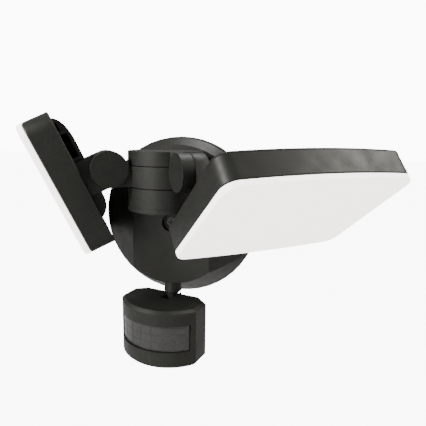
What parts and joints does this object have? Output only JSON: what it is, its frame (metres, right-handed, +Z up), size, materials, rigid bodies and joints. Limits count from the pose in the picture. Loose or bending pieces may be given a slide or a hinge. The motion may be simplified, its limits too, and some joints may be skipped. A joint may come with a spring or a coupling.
{
  "type": "security floodlight",
  "caption": "Wall-mounted LED security floodlight: swivelling, tilting lamp heads on a round base, with an aimable motion sensor below.",
  "frame": {"origin": "centre of the wall plate's back face, on the wall", "axes": "+Y into the wall, -Y the way the light faces, +X to the right as seen from the front, +Z up"},
  "size_m": [0.3071, 0.1696, 0.1797],
  "materials": {
    "shell": "fine satin texture",
    "dark_plastic": "matte",
    "opal": "satin translucent",
    "smoked": "satin translucent",
    "rubber": "matte",
    "steel": "plain",
    "black_steel": "satin",
    "brass": "plain",
    "aluminium": "rolled",
    "circuit_board": "satin",
    "white_board": "satin",
    "component_black": "satin"
  },
  "bodies": {
    "base": {"wall_plate": "shell", "base_gasket": "rubber", "front_cover": "shell", "cover_screw": "black_steel", "cable_grommet": "rubber", "ground_screw": "brass", "driver_board": "circuit_board", "transformer": "component_black", "capacitor": "component_black", "relay": "component_black", "terminal_block": "white_board", "swivel_axle": "steel", "axle_retainer": "steel", "lower_swivel_washer": "dark_plastic"},
    "left_swivel_arm": {"left_arm": "shell", "upper_swivel_washer": "dark_plastic", "left_pivot_bolt": "steel", "left_pivot_nut": "steel"},
    "right_swivel_arm": {"right_arm": "shell", "column_cap": "shell", "right_pivot_bolt": "steel", "right_pivot_nut": "steel"},
    "left_head": {"left_housing": "shell", "left_rear_cover": "shell", "left_heat_spreader": "aluminium", "left_led_board": "white_board", "left_lens_gasket": "rubber", "left_diffuser": "opal", "left_cover_screw_1": "steel", "left_cover_screw_2": "steel", "left_cover_screw_3": "steel", "left_cover_screw_4": "steel"},
    "right_head": {"right_housing": "shell", "right_rear_cover": "shell", "right_heat_spreader": "aluminium", "right_led_board": "white_board", "right_lens_gasket": "rubber", "right_diffuser": "opal", "right_cover_screw_1": "steel", "right_cover_screw_2": "steel", "right_cover_screw_3": "steel", "right_cover_screw_4": "steel"},
    "sensor_yoke": {"sensor_stem": "shell"},
    "sensor_head": {"sensor_housing": "shell", "sensor_tilt_pin": "steel", "pir_lens": "smoked", "sensor_back_cover": "shell", "sensor_back_screw_1": "steel", "sensor_back_screw_2": "steel", "sensor_board": "circuit_board", "pir_element": "steel"},
    "time_knob": {"time_dial": "dark_plastic"},
    "lux_knob": {"lux_dial": "dark_plastic"},
    "range_knob": {"range_dial": "dark_plastic"}
  },
  "joints": [
    {"name": "left_swivel", "type": "hinge", "parent": "base", "child": "left_swivel_arm", "pos_m": [0, -0.0464, 0.0358], "axis": [0, 0, 1], "range_deg": [-1, 30]},
    {"name": "right_swivel", "type": "hinge", "parent": "base", "child": "right_swivel_arm", "pos_m": [0, -0.0464, 0.048], "axis": [0, 0, 1], "range_deg": [-26, 1]},
    {"name": "left_tilt", "type": "hinge", "parent": "left_swivel_arm", "child": "left_head", "pos_m": [-0.03364, -0.0671, 0.0408], "axis": [0.524, -0.8517, 0], "range_deg": [-45, 1]},
    {"name": "right_tilt", "type": "hinge", "parent": "right_swivel_arm", "child": "right_head", "pos_m": [0.02415, -0.07765, 0.0408], "axis": [0.7912, 0.6115, 0], "range_deg": [-70, 0.5]},
    {"name": "sensor_pan", "type": "hinge", "parent": "base", "child": "sensor_yoke", "pos_m": [0, -0.0305, -0.05], "axis": [0, 0, 1], "range_deg": [-28, 56]},
    {"name": "sensor_tilt", "type": "hinge", "parent": "sensor_yoke", "child": "sensor_head", "pos_m": [0, -0.0305, -0.0634], "axis": [0.9686, -0.2487, 0], "range_deg": [-22, 18]},
    {"name": "time_turn", "type": "hinge", "parent": "sensor_head", "child": "time_knob", "pos_m": [-0.01848, -0.04135, -0.0986], "axis": [0, 0, 1], "range_deg": [-135, 135]},
    {"name": "lux_turn", "type": "hinge", "parent": "sensor_head", "child": "lux_knob", "pos_m": [-0.00492, -0.04483, -0.0986], "axis": [0, 0, 1], "range_deg": [-135, 135]},
    {"name": "range_turn", "type": "hinge", "parent": "sensor_head", "child": "range_knob", "pos_m": [0.00864, -0.04831, -0.0986], "axis": [0, 0, 1], "range_deg": [-135, 135]}
  ]
}
